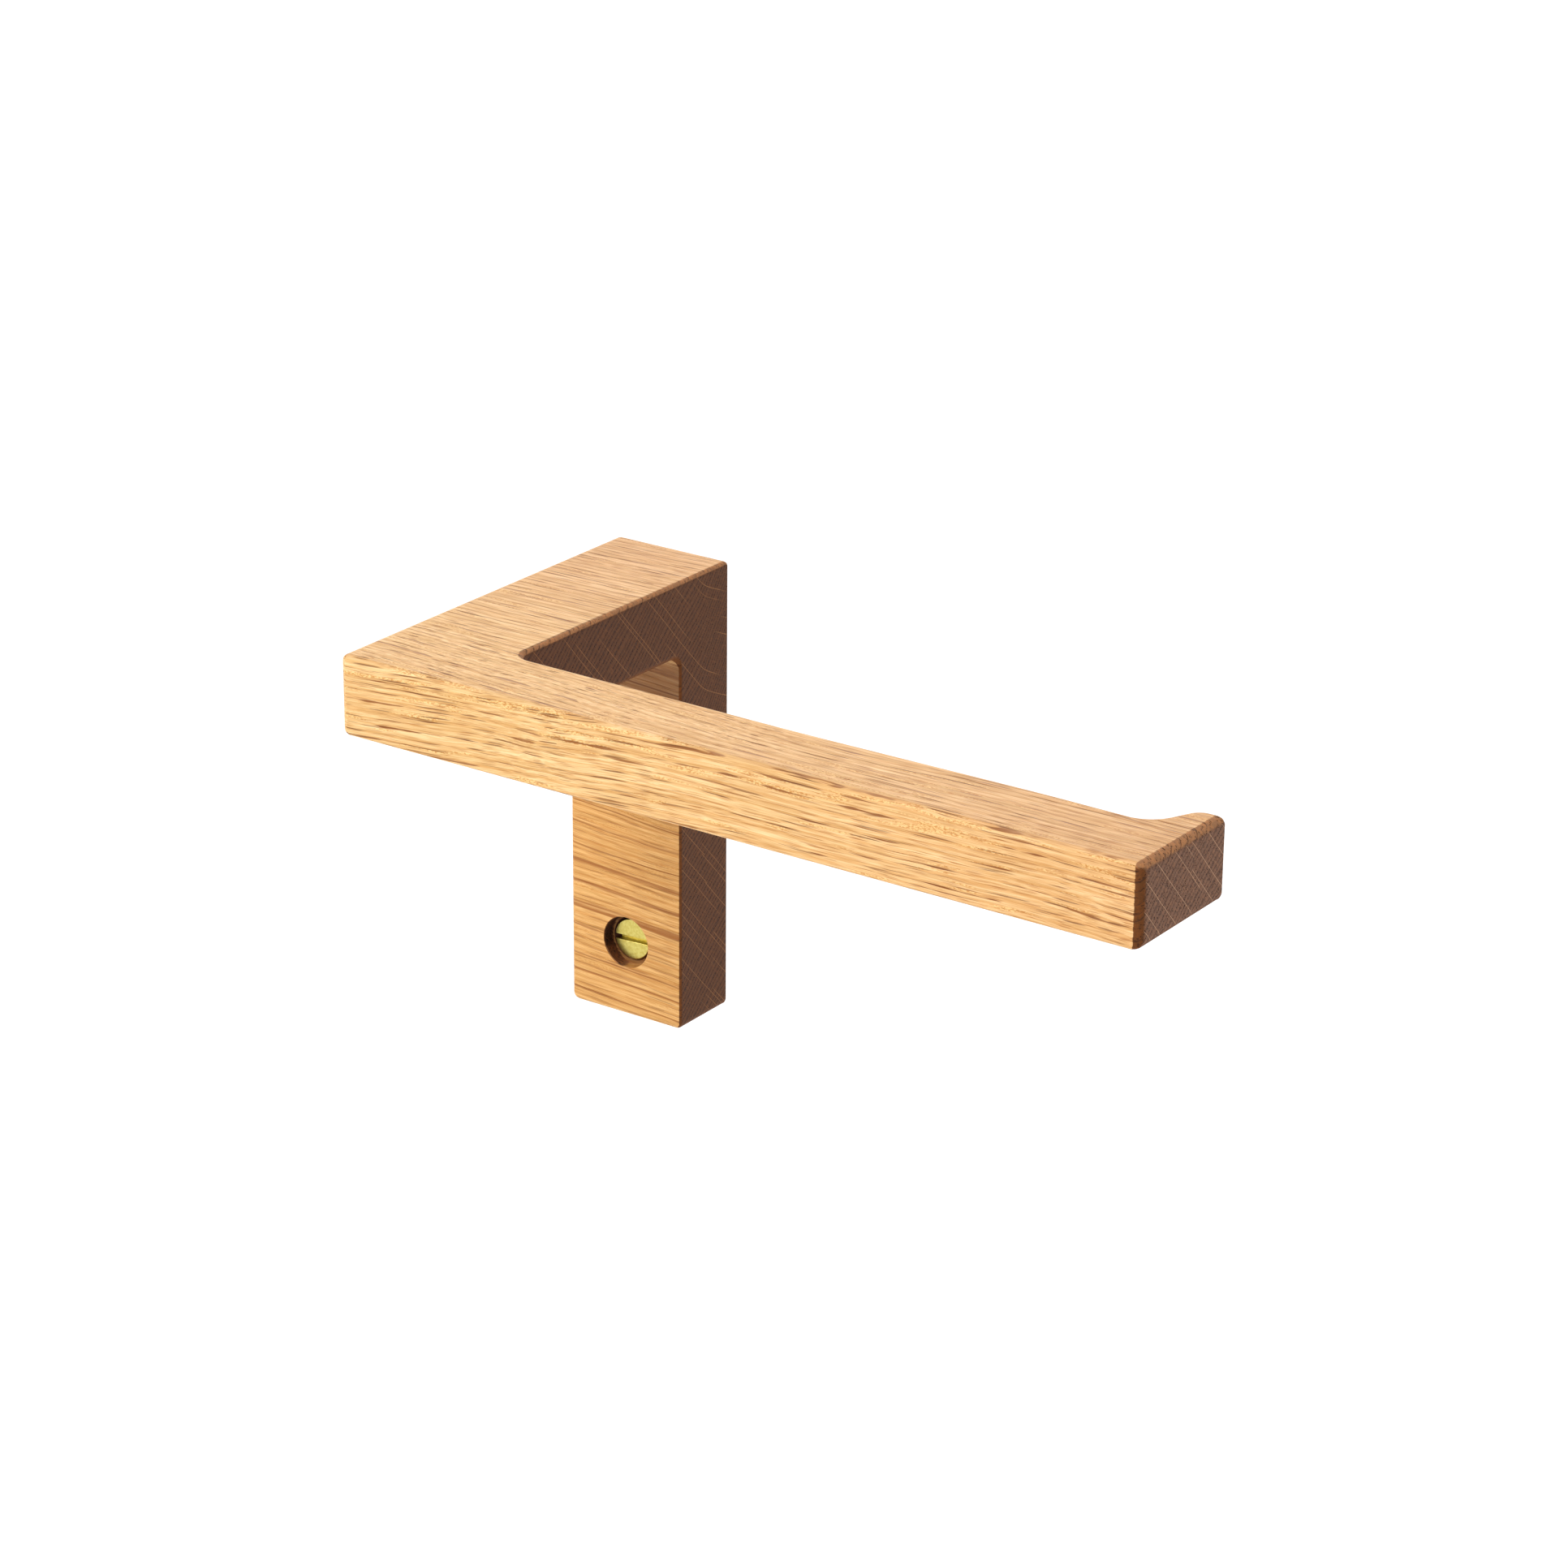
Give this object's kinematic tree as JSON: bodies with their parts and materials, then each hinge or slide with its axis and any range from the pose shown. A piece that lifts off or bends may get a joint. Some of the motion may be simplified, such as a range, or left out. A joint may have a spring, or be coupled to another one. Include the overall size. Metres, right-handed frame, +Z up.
{
  "type": "toilet roll holder",
  "caption": "Wall-mounted oak toilet-roll holder: a wall plate, a stand-off and an arm with a hooked tip in one carved piece, fixed by slotted brass wood screws sunk in the plate.",
  "frame": {"origin": "on the wall plane, at the middle of the back face of the wall plate", "axes": "+X along the arm to its free end, +Y into the wall (the outward normal of the plate's back face), +Z up"},
  "size_m": [0.1635, 0.093, 0.09],
  "materials": {
    "oiled_oak": "oiled, satin, straight grain along X, dark open end grain",
    "brass": "plain turned brass, semi-bright"
  },
  "bodies": {
    "root": {"oak_body": "oiled_oak", "lower_screw": "brass", "upper_screw": "brass"}
  },
  "joints": []
}
